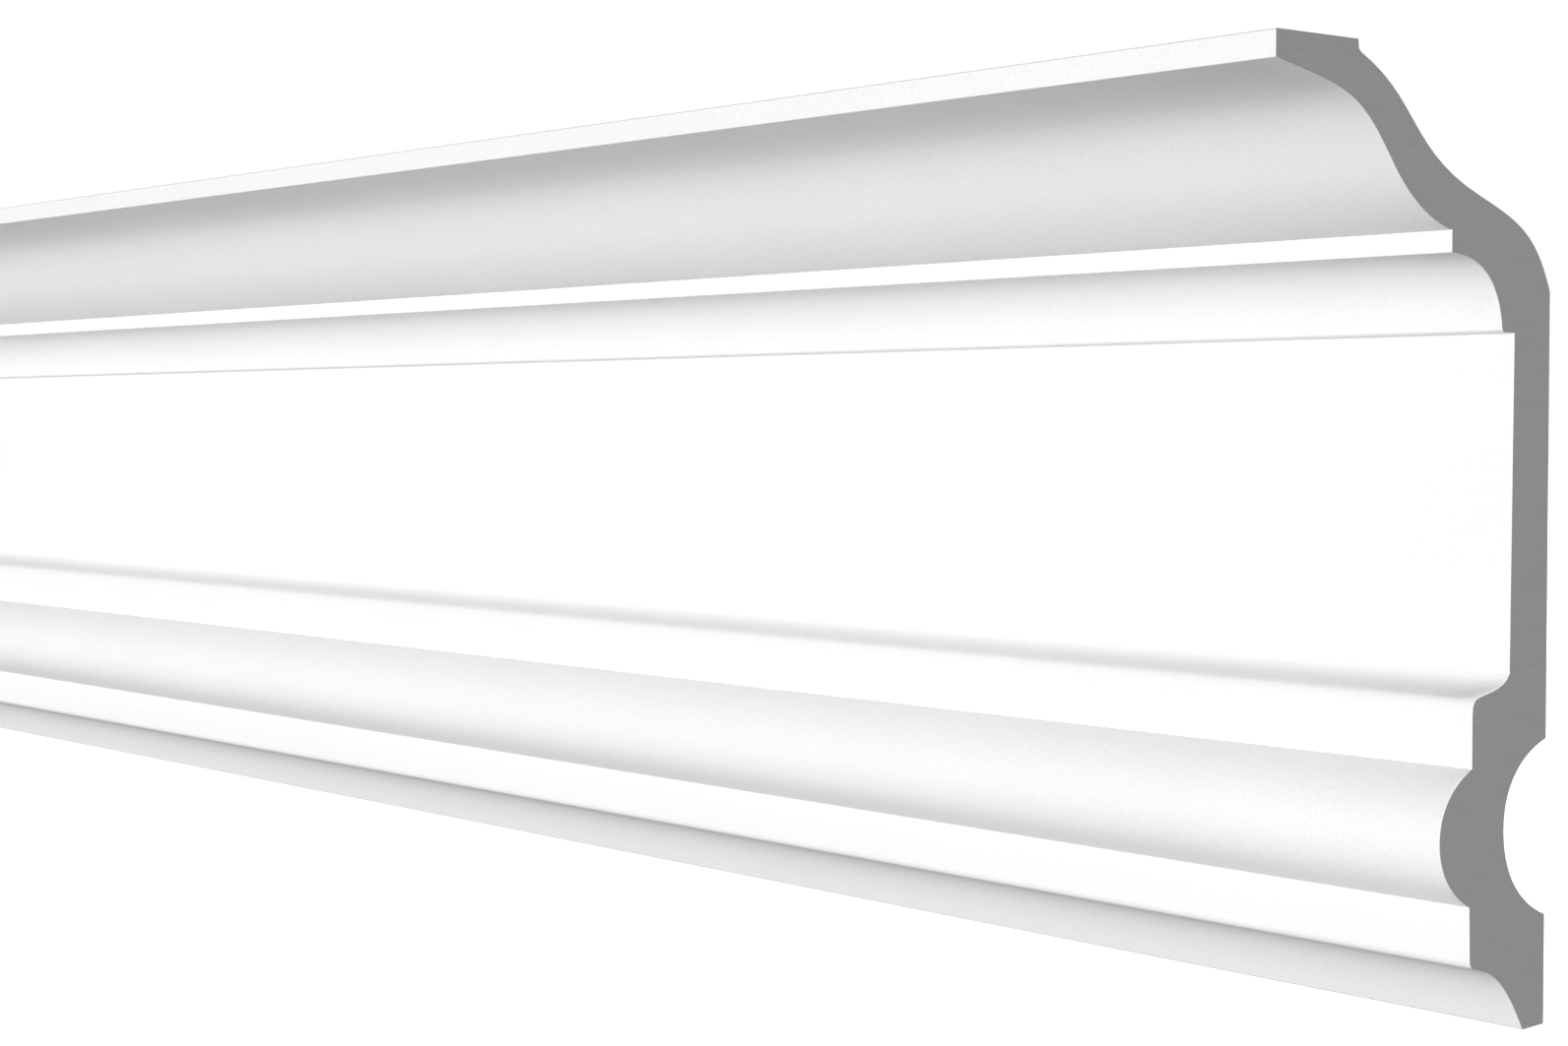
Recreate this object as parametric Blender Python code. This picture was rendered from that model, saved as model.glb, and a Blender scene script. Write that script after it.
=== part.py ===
"""A length of crown moulding for the corner between a wall and a ceiling.

Metres, +Z up. The length runs along X, the moulded face looks along -Y into the
room, and the flat back bears on the wall plane Y = 0. The origin is the middle of
the tall wall face. The moulding is one casting of rigid foam in a white skin,
about 15 mm thick, cut square at both ends.

The section is drawn as (out, up) points: out from the wall plane into the room,
and up from the underside of the moulding.
"""

from math import cos, radians, sin

import bmesh
import bpy

NODE_NAME = "crown_moulding"

# Overall sizes
LENGTH = 1.000
DROP = 0.240
PROJECTION = 0.103

# Heights of the upper members, stacked down from the ceiling
FILLET_HEIGHT = 0.0065
CYMA_HEIGHT = 0.0361
BAND_HEIGHT = 0.0054
COVE_HEIGHT = 0.0181
STEP_HEIGHT = 0.0007

# Heights of the lower members, stacked up from the foot; the frieze takes the rest
FOOT_HEIGHT = 0.0198
LOWER_FASCIA_HEIGHT = 0.0131
BEAD_HEIGHT = 0.0339
UPPER_FASCIA_HEIGHT = 0.0130
LEDGE_HEIGHT = 0.0094

# How far each member stands out from the wall; the frieze has a little draft
BAND_OUT = 0.0390
COVE_FOOT_OUT = 0.0191
FRIEZE_TOP_OUT = 0.0142
FRIEZE_FOOT_OUT = 0.0150
UPPER_FASCIA_OUT = 0.0296
BEAD_OUT = 0.0420
LOWER_FASCIA_TOP_OUT = 0.0302
LOWER_FASCIA_FOOT_OUT = 0.0299
FOOT_OUT = 0.0085
FOOT_RELIEF = 0.0004

# Levels that follow from the heights
CYMA_HEAD = DROP - FILLET_HEIGHT
BAND_TOP = CYMA_HEAD - CYMA_HEIGHT
BAND_FOOT = BAND_TOP - BAND_HEIGHT
COVE_FOOT = BAND_FOOT - COVE_HEIGHT
FRIEZE_TOP = COVE_FOOT - STEP_HEIGHT
BEAD_FOOT = FOOT_HEIGHT + LOWER_FASCIA_HEIGHT
BEAD_TOP = BEAD_FOOT + BEAD_HEIGHT
UPPER_FASCIA_TOP = BEAD_TOP + UPPER_FASCIA_HEIGHT
FRIEZE_FOOT = UPPER_FASCIA_TOP + LEDGE_HEIGHT

# Lines that the curved members follow where they begin and end. Each is a slope in
# degrees, turned up from the outward direction, and how far the curve keeps to it.
UP = 90.0
DOWN = 270.0
CYMA_HEAD_LINE = (191.3, 0.0274)
CYMA_TURN_SLOPE = 232.4
CYMA_ABOVE_TURN = 0.0207
CYMA_BELOW_TURN = 0.0143
CYMA_FOOT_LINE = (183.0, 0.0020)
COVE_HEAD_LINE = (182.3, 0.0131)
COVE_FOOT_LINE = (263.8, 0.0107)
LEDGE_HEAD_LINE = (299.0, 0.0042)
LEDGE_SLOPE = 344.6
LEDGE_BEHIND_NOSE = 0.0034
LEDGE_BEYOND_NOSE = 0.0015
FASCIA_HEAD_REACH = 0.0041
BEAD_HEAD_LINE = (334.3, 0.0073)
BEAD_ABOVE_CREST = 0.0085
BEAD_BELOW_CREST = 0.0055
BEAD_FOOT_LINE = (205.1, 0.0100)
ARRIS_REACH = 0.0011
SOFFIT_SLOPE = 192.0
FOOT_HEAD_LINE = (197.6, 0.0076)
FOOT_FOOT_LINE = (240.3, 0.0083)
SHOULDER_LINE = (68.5, 0.0154)
GROOVE_FOOT_LINE = (19.4, 0.0096)
GROOVE_BELOW_DEEPEST = 0.0124
GROOVE_ABOVE_DEEPEST = 0.0114
GROOVE_HEAD_LINE = (162.0, 0.0099)
BACK_TURN_SLOPE = 19.5
BACK_BELOW_TURN = 0.0168
BACK_ABOVE_TURN = 0.0283
BACK_HEAD_LINE = (24.0, 0.0236)

# Points between those lines, as (out, up)
CYMA_TURN = (BAND_OUT + 0.0219, BAND_TOP + 0.0143)
STEP_FRONT = (COVE_FOOT_OUT - 0.0005, COVE_FOOT - 0.0005)
LEDGE_NOSE = (UPPER_FASCIA_OUT - 0.0034, UPPER_FASCIA_TOP + 0.0044)
BEAD_CREST = (BEAD_OUT, BEAD_FOOT + 0.0166)
SOFFIT_FRONT = (LOWER_FASCIA_FOOT_OUT - 0.0017, FOOT_HEIGHT - 0.0024)
SOFFIT_BACK = (LOWER_FASCIA_FOOT_OUT - 0.0055, FOOT_HEIGHT - 0.0032)

# Back: two flat wall faces and a round groove between them, behind the bead
GROOVE_FOOT = 0.0281
GROOVE_HEIGHT = 0.0442
GROOVE_TOP = GROOVE_FOOT + GROOVE_HEIGHT
GROOVE_DEEPEST = (0.0169, GROOVE_FOOT + 0.0227)
WALL_FACE_TOP = DROP - 0.0563

# Back of the cyma, which follows the front and leaves the corner of the room free
BACK_TURN = (0.0289, DROP - 0.0337)
BACK_HEAD = (0.0734, DROP - 0.0029)
LIP_FOOT = (0.0741, DROP - 0.0021)
CEILING_FACE_BACK = 0.0743

# Fineness of the round stretches
CURVE_STEPS = 14
SMALL_STEPS = 10
SHARP_ANGLE = radians(20.0)

SKIN_COLOUR = (0.88, 0.88, 0.87, 1.0)
SKIN_ROUGHNESS = 0.62


def along(point, slope, distance):
    """The point at a distance from another, on a line of a slope in degrees."""
    angle = radians(slope)
    return (point[0] + distance * cos(angle), point[1] + distance * sin(angle))


def curve(start, leave, end, arrive, steps):
    """Points of a curve after its start, which leaves and arrives along two lines."""
    near = along(start, leave[0], leave[1])
    far = along(end, arrive[0], -arrive[1])
    points = []
    for i in range(1, steps + 1):
        t = i / steps
        s = 1.0 - t
        weights = (s * s * s, 3 * s * s * t, 3 * s * t * t, t * t * t)
        stops = (start, near, far, end)
        out = sum(weight * stop[0] for weight, stop in zip(weights, stops))
        up = sum(weight * stop[1] for weight, stop in zip(weights, stops))
        points.append((out, up))
    return points


def front_outline():
    """The moulded face from the ceiling down to the foot."""
    cyma_head = (PROJECTION, CYMA_HEAD)
    band_top = (BAND_OUT, BAND_TOP)
    band_foot = (BAND_OUT, BAND_FOOT)
    cove_foot = (COVE_FOOT_OUT, COVE_FOOT)
    frieze_foot = (FRIEZE_FOOT_OUT, FRIEZE_FOOT)
    fascia_top = (UPPER_FASCIA_OUT, UPPER_FASCIA_TOP)
    bead_top = (UPPER_FASCIA_OUT, BEAD_TOP)
    bead_foot = (LOWER_FASCIA_TOP_OUT, BEAD_FOOT)
    fascia_foot = (LOWER_FASCIA_FOOT_OUT, FOOT_HEIGHT)
    above_turn = (CYMA_TURN_SLOPE, CYMA_ABOVE_TURN)
    below_turn = (CYMA_TURN_SLOPE, CYMA_BELOW_TURN)
    behind_nose = (LEDGE_SLOPE, LEDGE_BEHIND_NOSE)
    beyond_nose = (LEDGE_SLOPE, LEDGE_BEYOND_NOSE)

    points = [(PROJECTION, DROP), cyma_head]
    points += curve(cyma_head, CYMA_HEAD_LINE, CYMA_TURN, above_turn, CURVE_STEPS)
    points += curve(CYMA_TURN, below_turn, band_top, CYMA_FOOT_LINE, CURVE_STEPS)
    points.append(band_foot)
    points += curve(band_foot, COVE_HEAD_LINE, cove_foot, COVE_FOOT_LINE, CURVE_STEPS)
    points.append(STEP_FRONT)
    points.append((FRIEZE_TOP_OUT, FRIEZE_TOP))
    points.append(frieze_foot)
    points += curve(frieze_foot, LEDGE_HEAD_LINE, LEDGE_NOSE, behind_nose, SMALL_STEPS)
    points += curve(LEDGE_NOSE, beyond_nose, fascia_top, (DOWN, FASCIA_HEAD_REACH), SMALL_STEPS)
    points.append(bead_top)
    points += curve(bead_top, BEAD_HEAD_LINE, BEAD_CREST, (DOWN, BEAD_ABOVE_CREST), CURVE_STEPS)
    points += curve(BEAD_CREST, (DOWN, BEAD_BELOW_CREST), bead_foot, BEAD_FOOT_LINE, CURVE_STEPS)
    points.append(fascia_foot)
    points += curve(fascia_foot, (DOWN, ARRIS_REACH), SOFFIT_FRONT, (SOFFIT_SLOPE, ARRIS_REACH), SMALL_STEPS)
    points.append(SOFFIT_BACK)
    points += curve(SOFFIT_BACK, FOOT_HEAD_LINE, (FOOT_OUT, 0.0), FOOT_FOOT_LINE, CURVE_STEPS)
    return points


def back_outline():
    """The back from the foot up to the ceiling."""
    groove_foot = (0.0, GROOVE_FOOT)
    groove_top = (0.0, GROOVE_TOP)
    shoulder = (0.0, WALL_FACE_TOP)
    below_turn = (BACK_TURN_SLOPE, BACK_BELOW_TURN)
    above_turn = (BACK_TURN_SLOPE, BACK_ABOVE_TURN)

    points = [(0.0, FOOT_RELIEF), groove_foot]
    points += curve(groove_foot, GROOVE_FOOT_LINE, GROOVE_DEEPEST, (UP, GROOVE_BELOW_DEEPEST), CURVE_STEPS)
    points += curve(GROOVE_DEEPEST, (UP, GROOVE_ABOVE_DEEPEST), groove_top, GROOVE_HEAD_LINE, CURVE_STEPS)
    points.append(shoulder)
    points += curve(shoulder, SHOULDER_LINE, BACK_TURN, below_turn, CURVE_STEPS)
    points += curve(BACK_TURN, above_turn, BACK_HEAD, BACK_HEAD_LINE, CURVE_STEPS)
    points.append(LIP_FOOT)
    points.append((CEILING_FACE_BACK, DROP))
    return points


def skin_material():
    """White primer on rigid foam."""
    material = bpy.data.materials.new("white_primer")
    material.use_nodes = True
    shader = material.node_tree.nodes["Principled BSDF"]
    shader.inputs["Base Color"].default_value = SKIN_COLOUR
    shader.inputs["Roughness"].default_value = SKIN_ROUGHNESS
    shader.inputs["Metallic"].default_value = 0.0
    material.diffuse_color = SKIN_COLOUR
    return material


def build_moulding():
    """The section drawn at one cut end and extruded for the whole length."""
    wall_face_middle = (GROOVE_TOP + WALL_FACE_TOP) / 2
    bm = bmesh.new()
    corners = []
    for out, up in front_outline() + back_outline():
        corners.append(bm.verts.new((-LENGTH / 2, -out, up - wall_face_middle)))
    end_face = bm.faces.new(corners)
    swept = bmesh.ops.extrude_face_region(bm, geom=[end_face], use_keep_orig=True)
    moved = [item for item in swept["geom"] if isinstance(item, bmesh.types.BMVert)]
    bmesh.ops.translate(bm, verts=moved, vec=(LENGTH, 0.0, 0.0))
    bmesh.ops.recalc_face_normals(bm, faces=bm.faces)
    mesh = bpy.data.meshes.new(NODE_NAME)
    bm.to_mesh(mesh)
    bm.free()
    mesh.shade_smooth()
    mesh.set_sharp_from_angle(angle=SHARP_ANGLE)
    mesh.materials.append(skin_material())
    moulding = bpy.data.objects.new(NODE_NAME, mesh)
    bpy.context.scene.collection.objects.link(moulding)
    return moulding


for old in list(bpy.data.objects):
    bpy.data.objects.remove(old, do_unlink=True)

build_moulding()
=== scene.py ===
from math import radians

import bmesh
import bpy
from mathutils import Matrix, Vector


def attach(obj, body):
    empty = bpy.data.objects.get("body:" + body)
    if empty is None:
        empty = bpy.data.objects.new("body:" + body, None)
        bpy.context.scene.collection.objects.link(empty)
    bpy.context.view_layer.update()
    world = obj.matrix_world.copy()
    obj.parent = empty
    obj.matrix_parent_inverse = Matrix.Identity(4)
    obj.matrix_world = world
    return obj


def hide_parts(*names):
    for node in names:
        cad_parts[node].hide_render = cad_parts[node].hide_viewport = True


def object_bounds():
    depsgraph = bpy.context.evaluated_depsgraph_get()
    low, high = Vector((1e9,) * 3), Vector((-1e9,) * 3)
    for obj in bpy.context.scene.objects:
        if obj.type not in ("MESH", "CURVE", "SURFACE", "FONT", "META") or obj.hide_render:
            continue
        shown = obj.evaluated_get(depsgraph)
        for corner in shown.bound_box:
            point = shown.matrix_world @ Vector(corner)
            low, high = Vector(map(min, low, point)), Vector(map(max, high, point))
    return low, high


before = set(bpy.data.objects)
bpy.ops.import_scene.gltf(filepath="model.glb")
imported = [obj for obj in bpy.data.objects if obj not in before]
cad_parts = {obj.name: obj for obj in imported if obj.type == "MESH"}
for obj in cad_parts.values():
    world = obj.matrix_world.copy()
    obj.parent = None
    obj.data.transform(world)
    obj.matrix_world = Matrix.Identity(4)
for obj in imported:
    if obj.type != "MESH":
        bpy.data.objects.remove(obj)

cad_low, cad_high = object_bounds()


# The moulding length. The real piece is one casting of rigid polyurethane foam,
# primed white on the moulded face, plainer on the back that is glued to the wall
# and ceiling, and sawn square at both ends.

LENGTH_NAME = "crown_moulding_length"
CAD_NODE = "crown_moulding"

# The mould leaves the outer arrises slightly round and the inner corners crisp. The
# saw leaves the cut ends crisp. A narrow band along the top of the fillet and along the
# foot is painted darker grey, as painted shade where those edges turn from the light.
ARRIS_RADIUS = 0.0002
ARRIS_SEGMENTS = 3
ARRIS_TURN = radians(45.0)
EDGE_SHADE_WIDTH = 0.0003

# Points and planes this close are one, and an edge that turns more than the last of
# these looks crisp.
SAME_POINT = 0.00001
SAME_PLANE = radians(0.05)
CRISP_TURN = radians(32.0)

# The finish of a face follows from the way it looks, and in the bands of painted edge shade from
# its height.
FINISHES = ("primed_face", "primed_back", "painted_edge_shade", "sawn_core")
SQUARE_ON = 0.99
TURNED_AWAY = 0.01

# The level cuts leave the faces in no fixed order, so they are sorted by their place, to
# the micrometre.
PLACE_DIGITS = 6


def is_arris(edge):
    """Whether an edge is an outer corner that joins the two cut ends."""
    run = edge.verts[1].co - edge.verts[0].co
    joins_the_ends = abs(run.x) > (cad_high.x - cad_low.x) / 2
    return joins_the_ends and edge.is_convex and edge.calc_face_angle() > ARRIS_TURN


def looks_out(face):
    """Whether a face looks away from the wall."""
    return face.normal.y < -TURNED_AWAY


def on_painted_edge_shade(face):
    """Whether a face lies in one of the two narrow bands of painted shade, along the top and the
    foot.
    """
    height = face.calc_center_median().z
    return looks_out(face) and min(cad_high.z - height, height - cad_low.z) < EDGE_SHADE_WIDTH


def cut_level(bm, height):
    """A cut through the faces that look out, at one height, which keeps both sides."""
    faces = [face for face in bm.faces if looks_out(face)]
    edges = [edge for edge in bm.edges if any(looks_out(face) for face in edge.link_faces)]
    bmesh.ops.bisect_plane(
        bm, geom=edges + faces, dist=0.0, plane_co=(0.0, 0.0, height), plane_no=(0.0, 0.0, 1.0)
    )


def finish_of(face):
    """Which of the finishes a face has."""
    if abs(face.normal.x) > SQUARE_ON:
        return FINISHES.index("sawn_core")
    # The bands along the top and the foot get painted shade.
    if on_painted_edge_shade(face):
        return FINISHES.index("painted_edge_shade")
    if face.normal.y > TURNED_AWAY or face.normal.z > SQUARE_ON:
        return FINISHES.index("primed_back")
    return FINISHES.index("primed_face")


def place_of(face):
    """Where the middle of a face lies."""
    return tuple(round(part, PLACE_DIGITS) for part in face.calc_center_median())


def build_length():
    """The casting, from a merged copy of the frame's solid with its arrises rounded."""
    bm = bmesh.new()
    bm.from_mesh(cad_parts[CAD_NODE].data)
    bmesh.ops.remove_doubles(bm, verts=bm.verts, dist=SAME_POINT)
    bmesh.ops.dissolve_limit(bm, angle_limit=SAME_PLANE, verts=bm.verts, edges=bm.edges)
    bmesh.ops.bevel(
        bm,
        geom=[edge for edge in bm.edges if is_arris(edge)],
        offset=ARRIS_RADIUS,
        offset_type="OFFSET",
        segments=ARRIS_SEGMENTS,
        profile=0.5,
        affect="EDGES",
        material=-1,
    )
    bm.normal_update()
    # Level cuts bound the bands of painted shade along the top and the foot.
    cut_level(bm, cad_high.z - EDGE_SHADE_WIDTH)
    cut_level(bm, cad_low.z + EDGE_SHADE_WIDTH)
    for index, face in enumerate(sorted(bm.faces, key=place_of)):
        face.index = index
        face.material_index = finish_of(face)
    bm.faces.sort()
    mesh = bpy.data.meshes.new(LENGTH_NAME)
    bm.to_mesh(mesh)
    bm.free()
    # The normals stored with the frame's solid don't fit the rounded arrises.
    mesh.attributes.remove(mesh.attributes["custom_normal"])
    mesh.shade_smooth()
    mesh.set_sharp_from_angle(angle=CRISP_TURN)
    length = bpy.data.objects.new(LENGTH_NAME, mesh)
    bpy.context.scene.collection.objects.link(length)
    evened = length.modifiers.new("even_flats", "WEIGHTED_NORMAL")
    evened.keep_sharp = True
    return length


def new_group(name, inputs, outputs):
    """A shader node group with named sockets, and its two end nodes."""
    group = bpy.data.node_groups.new(name, "ShaderNodeTree")
    for direction, sockets in (("INPUT", inputs), ("OUTPUT", outputs)):
        for label, kind in sockets:
            group.interface.new_socket(name=label, in_out=direction, socket_type=kind)
    return group, group.nodes.new("NodeGroupInput"), group.nodes.new("NodeGroupOutput")


def feed(tree, value, socket):
    """A socket given its value, which is a number or what another socket puts out."""
    if isinstance(value, float):
        socket.default_value = value
    else:
        tree.links.new(value, socket)


def computed(tree, operation, first, second):
    """The result of a sum on two operands, each of them a number or a socket."""
    node = tree.nodes.new("ShaderNodeMath")
    node.operation = operation
    feed(tree, first, node.inputs[0])
    feed(tree, second, node.inputs[1])
    return node.outputs["Value"]


def noise_of(tree, position, per_metre, detail):
    """Noise with so many features to the metre, given by a number or a socket."""
    noise = tree.nodes.new("ShaderNodeTexNoise")
    noise.inputs["Detail"].default_value = detail
    tree.links.new(position, noise.inputs["Vector"])
    feed(tree, per_metre, noise.inputs["Scale"])
    return noise.outputs["Fac"]


def cells_of(tree, position, per_metre):
    """How far a point lies from the middle of its cell, as a share of the cell's size."""
    cells = tree.nodes.new("ShaderNodeTexVoronoi")
    cells.inputs["Scale"].default_value = per_metre
    tree.links.new(position, cells.inputs["Vector"])
    return cells.outputs["Distance"]


def ranged(tree, value, low, high, to_low=0.0, to_high=1.0):
    """A value stretched from one range to another."""
    change = tree.nodes.new("ShaderNodeMapRange")
    change.interpolation_type = "SMOOTHSTEP"
    change.inputs["From Min"].default_value = low
    change.inputs["From Max"].default_value = high
    change.inputs["To Min"].default_value = to_low
    change.inputs["To Max"].default_value = to_high
    tree.links.new(value, change.inputs["Value"])
    return change.outputs["Result"]


def blended(tree, share, first, second):
    """Two values mixed, with the share of the second given by a number or a socket."""
    lead = computed(tree, "SUBTRACT", second, first)
    return computed(tree, "ADD", first, computed(tree, "MULTIPLY", lead, share))


def tinted(tree, share, first, second):
    """A colour between two others, at the share that a socket gives."""
    mix = tree.nodes.new("ShaderNodeMix")
    mix.data_type = "RGBA"
    mix.inputs["A"].default_value = (*first, 1.0)
    mix.inputs["B"].default_value = (*second, 1.0)
    tree.links.new(share, mix.inputs["Factor"])
    return mix.outputs["Result"]


def new_material(name, colour):
    """A material with its tree, its shader and the object coordinates."""
    material = bpy.data.materials.new(name)
    material.use_nodes = True
    material.diffuse_color = (*colour, 1.0)
    tree = material.node_tree
    place = tree.nodes.new("ShaderNodeTexCoord")
    return material, tree, tree.nodes["Principled BSDF"], place.outputs["Object"]


def raised(tree, height, distance, shader):
    """Relief of a height map, given to a shader."""
    bump = tree.nodes.new("ShaderNodeBump")
    bump.inputs["Distance"].default_value = distance
    tree.links.new(height, bump.inputs["Height"])
    tree.links.new(bump.outputs["Normal"], shader.inputs["Normal"])


def skin_texture():
    """Primer skin: a fine sprayed stipple, and how thick the coat lies from place to place."""
    stipple_detail = 1.0
    stipple_band = (0.25, 0.75)
    clouds_per_metre = 20.0
    cloud_detail = 4.0
    cloud_band = (0.3, 0.7)
    group, given, gives = new_group(
        "primer_skin",
        inputs=[
            ("Position", "NodeSocketVector"),
            ("Stipple Size", "NodeSocketFloat"),
            ("Stipple Share", "NodeSocketFloat"),
        ],
        outputs=[
            ("Stipple", "NodeSocketFloat"),
            ("Cover", "NodeSocketFloat"),
        ],
    )
    position = given.outputs["Position"]
    per_metre = computed(group, "DIVIDE", 1.0, given.outputs["Stipple Size"])
    spray = noise_of(group, position, per_metre, stipple_detail)
    drift = noise_of(group, position, clouds_per_metre, cloud_detail)
    stipple = ranged(group, spray, *stipple_band)
    clouds = ranged(group, drift, *cloud_band)
    cover = blended(group, given.outputs["Stipple Share"], clouds, stipple)
    group.links.new(stipple, gives.inputs["Stipple"])
    group.links.new(cover, gives.inputs["Cover"])
    return group


primer_skin = skin_texture()


def primed(
    name, thin, thick, thin_roughness, thick_roughness, stipple_size, stipple_share, relief
):
    """White primer, with a colour and a roughness for where it lies thin and thick."""
    material, tree, shader, position = new_material(name, thick)
    skin = tree.nodes.new("ShaderNodeGroup")
    skin.node_tree = primer_skin
    skin.inputs["Stipple Size"].default_value = stipple_size
    skin.inputs["Stipple Share"].default_value = stipple_share
    tree.links.new(position, skin.inputs["Position"])
    cover = skin.outputs["Cover"]
    roughness = ranged(tree, cover, 0.0, 1.0, thin_roughness, thick_roughness)
    tree.links.new(tinted(tree, cover, thin, thick), shader.inputs["Base Color"])
    tree.links.new(roughness, shader.inputs["Roughness"])
    raised(tree, skin.outputs["Stipple"], relief, shader)
    return material


def sawn(name):
    """Sawn foam: closed cells cut open, a few larger bubbles, faint strokes of the blade, the
    cells and bubbles painted darker as painted shade.
    """
    # The darker colour is painted shade for the opened cells and bubbles.
    painted_pit_shade = (0.725, 0.724, 0.718)
    wall = (0.785, 0.784, 0.779)
    hollow_roughness = 0.95
    wall_roughness = 0.82
    relief = 0.00002
    cells_per_metre = 2800.0
    cell_wall = (0.1, 0.6)
    bubbles_per_metre = 140.0
    bubble_rim = (0.03, 0.07)
    strokes_per_metre = 1600.0
    stroke_stretch = (1.0, 0.03, 1.0)
    stroke_detail = 2.0
    stroke_band = (0.35, 0.65)
    stroke_share = 0.4
    material, tree, shader, position = new_material(name, wall)

    cell = ranged(tree, cells_of(tree, position, cells_per_metre), *cell_wall)
    around_bubble = ranged(tree, cells_of(tree, position, bubbles_per_metre), *bubble_rim)

    stretch = tree.nodes.new("ShaderNodeMapping")
    stretch.inputs["Scale"].default_value = stroke_stretch
    tree.links.new(position, stretch.inputs["Vector"])
    blade = noise_of(tree, stretch.outputs["Vector"], strokes_per_metre, stroke_detail)
    strokes = ranged(tree, blade, *stroke_band)

    height = computed(tree, "MULTIPLY", blended(tree, stroke_share, cell, strokes), around_bubble)
    roughness = ranged(tree, height, 0.0, 1.0, hollow_roughness, wall_roughness)
    # The colour darkens where the height is low: painted shade in the opened cells and bubbles,
    # and the faint tone of the blade strokes.
    tree.links.new(tinted(tree, height, painted_pit_shade, wall), shader.inputs["Base Color"])
    tree.links.new(roughness, shader.inputs["Roughness"])
    raised(tree, height, relief, shader)
    return material


primed_face = primed(
    name="primed_face",
    thin=(0.832, 0.829, 0.825),
    thick=(0.930, 0.927, 0.923),
    thin_roughness=0.68,
    thick_roughness=0.54,
    stipple_size=0.0004,
    stipple_share=0.85,
    relief=0.000006,
)
primed_back = primed(
    name="primed_back",
    thin=(0.79, 0.785, 0.765),
    thick=(0.88, 0.88, 0.87),
    thin_roughness=0.86,
    thick_roughness=0.66,
    stipple_size=0.0012,
    stipple_share=0.3,
    relief=0.00004,
)
# Darker grey: painted shade along the top and foot edges.
painted_edge_shade = primed(
    name="painted_edge_shade",
    thin=(0.58, 0.58, 0.57),
    thick=(0.68, 0.68, 0.67),
    thin_roughness=0.9,
    thick_roughness=0.8,
    stipple_size=0.0004,
    stipple_share=0.85,
    relief=0.000006,
)
sawn_core = sawn(name="sawn_core")

crown = build_length()
# The order is that of FINISHES.
for material in (primed_face, primed_back, painted_edge_shade, sawn_core):
    crown.data.materials.append(material)
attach(crown, "root")
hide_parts(CAD_NODE)


# The floor. A plain white studio floor, far enough below for every view of a piece
# that is fixed high on a wall. It throws no light of its own on the piece.

FLOOR_SIZE = 400.0
FLOOR_LEVEL = -3.3
WHITE = (1.0, 1.0, 1.0, 1.0)
PAPER_WHITE = (0.95, 0.95, 0.95, 1.0)
PAPER_GLOW = 0.495

bm = bmesh.new()
bmesh.ops.create_grid(bm, x_segments=1, y_segments=1, size=FLOOR_SIZE / 2)
bmesh.ops.translate(bm, verts=bm.verts, vec=(0.0, 0.0, FLOOR_LEVEL))
floor_mesh = bpy.data.meshes.new("studio_floor")
bm.to_mesh(floor_mesh)
bm.free()
floor = bpy.data.objects.new("studio_floor", floor_mesh)
bpy.context.scene.collection.objects.link(floor)
floor.visible_diffuse = False
floor.visible_glossy = False
floor.visible_shadow = False
paper = bpy.data.materials.new("white_paper")
paper.use_nodes = True
paper_shader = paper.node_tree.nodes["Principled BSDF"]
paper_shader.inputs["Base Color"].default_value = PAPER_WHITE
paper_shader.inputs["Specular IOR Level"].default_value = 0.0
paper_shader.inputs["Emission Color"].default_value = WHITE
paper_shader.inputs["Emission Strength"].default_value = PAPER_GLOW
floor_mesh.materials.append(paper)


# The light. A dim white room, one large soft light square in front of the moulded face
# with two weak ones above and below it, two for the back, and one for each cut end. Of
# the moulded face, the lights behind reach no more than the edges.

ROOM_LIGHT = 0.03
ROOM_SEEN = 1.02
WIDE = radians(30.0)
NARROW = radians(8.0)

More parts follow.
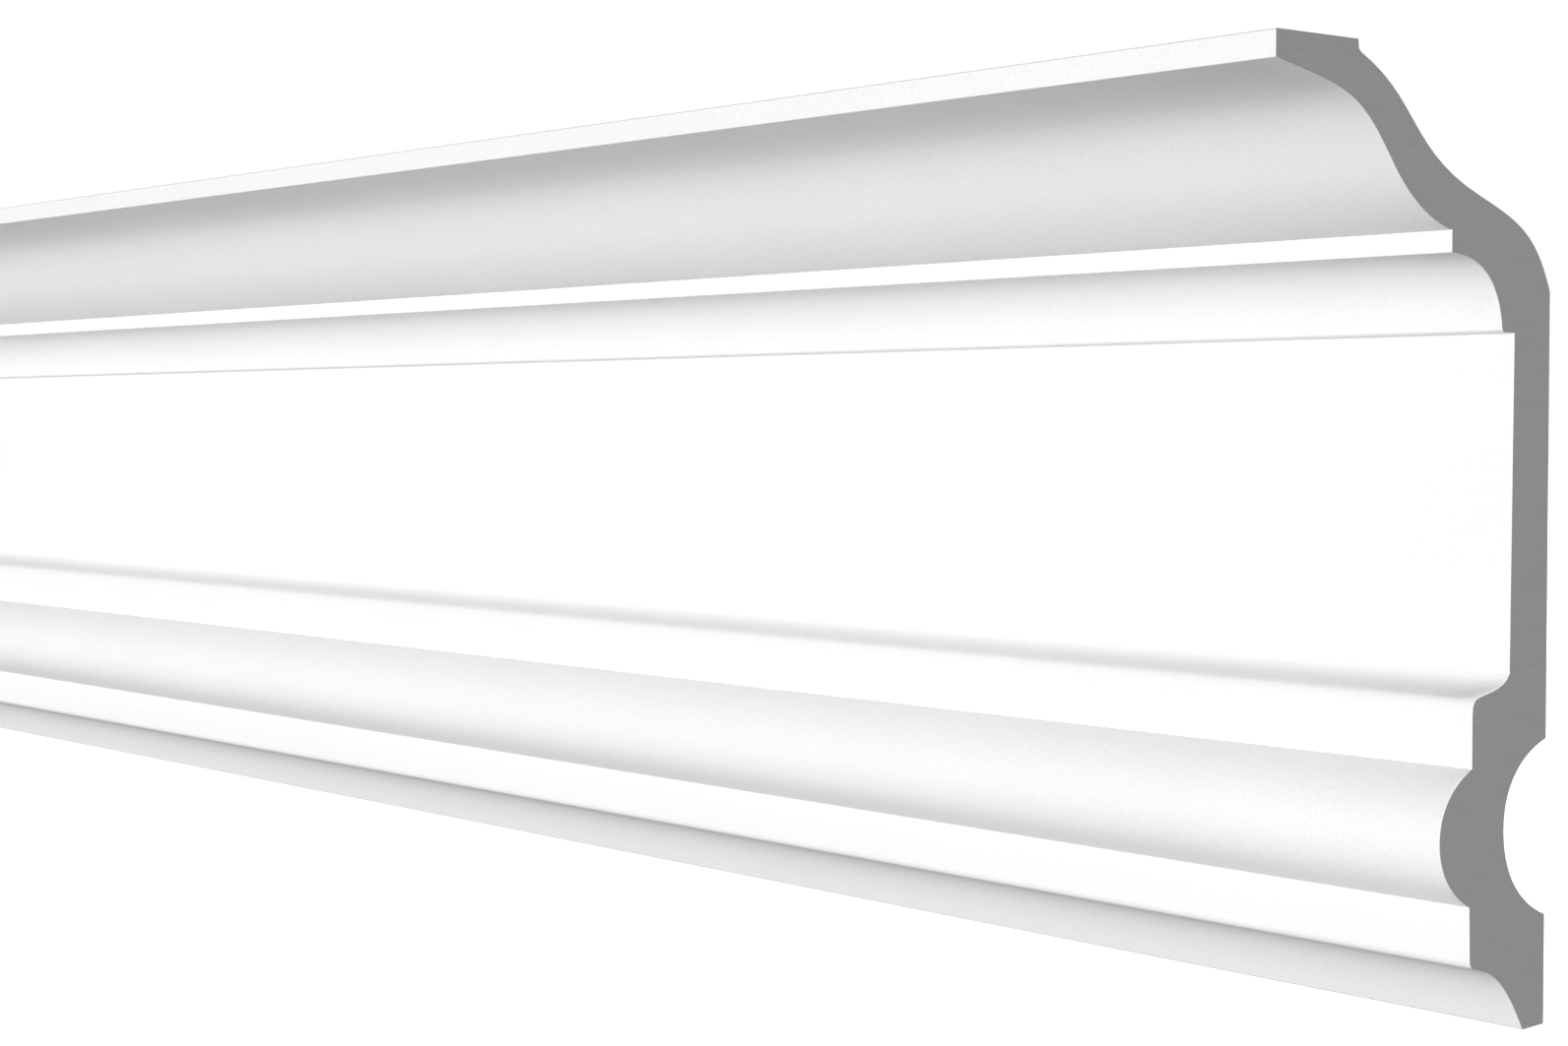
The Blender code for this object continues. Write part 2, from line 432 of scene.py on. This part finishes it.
# Where each light comes from, how strong it is and how wide.
LIGHTS = {
    "front_light": ((0.0, -1.0, 0.0), 3.05, WIDE),
    "front_top_light": ((0.0, -0.8, 0.6), 0.29, WIDE),
    "front_foot_light": ((0.0, -0.5, -0.87), 0.17, WIDE),
    "right_end_light": ((1.0, 0.0, 0.0), 0.525, NARROW),
    "left_end_light": ((-1.0, 0.0, 0.0), 0.525, NARROW),
    "back_top_light": ((0.0, 0.6, 0.8), 3.0, WIDE),
    "back_foot_light": ((0.0, 0.9, -0.44), 1.1, WIDE),
}

room = bpy.data.worlds.new("white_room")
room.use_nodes = True
bpy.context.scene.world = room
room_tree = room.node_tree
room_shader = room_tree.nodes["Background"]
room_shader.inputs["Color"].default_value = WHITE
light_path = room_tree.nodes.new("ShaderNodeLightPath")
seen_or_lit = room_tree.nodes.new("ShaderNodeMapRange")
seen_or_lit.inputs["To Min"].default_value = ROOM_LIGHT
seen_or_lit.inputs["To Max"].default_value = ROOM_SEEN
room_tree.links.new(light_path.outputs["Is Camera Ray"], seen_or_lit.inputs["Value"])
room_tree.links.new(seen_or_lit.outputs["Result"], room_shader.inputs["Strength"])

for light_name, (comes_from, strength, width) in LIGHTS.items():
    light_data = bpy.data.lights.new(light_name, "SUN")
    light_data.energy = strength
    light_data.angle = width
    light = bpy.data.objects.new(light_name, light_data)
    light.rotation_mode = "QUATERNION"
    light.rotation_quaternion = Vector(comes_from).to_track_quat("Z", "Y")
    bpy.context.scene.collection.objects.link(light)

bpy.context.scene.view_settings.view_transform = "Standard"


# The camera. It stands close to the cut end, level with the upper half of the frieze,
# and looks along the moulded face and a little down.

EYE = (0.92609, -0.59405, 0.02271)
LEVEL = radians(90.0)
TURN_LEFT = radians(50.757)
TURN_DOWN = radians(1.993)
LENS_MM = 65.0
SENSOR_MM = 36.0

camera_data = bpy.data.cameras.new("camera")
camera_data.lens = LENS_MM
camera_data.sensor_width = SENSOR_MM
camera = bpy.data.objects.new("camera", camera_data)
camera.location = EYE
camera.rotation_euler = (LEVEL - TURN_DOWN, 0.0, TURN_LEFT)
bpy.context.scene.collection.objects.link(camera)
bpy.context.scene.camera = camera
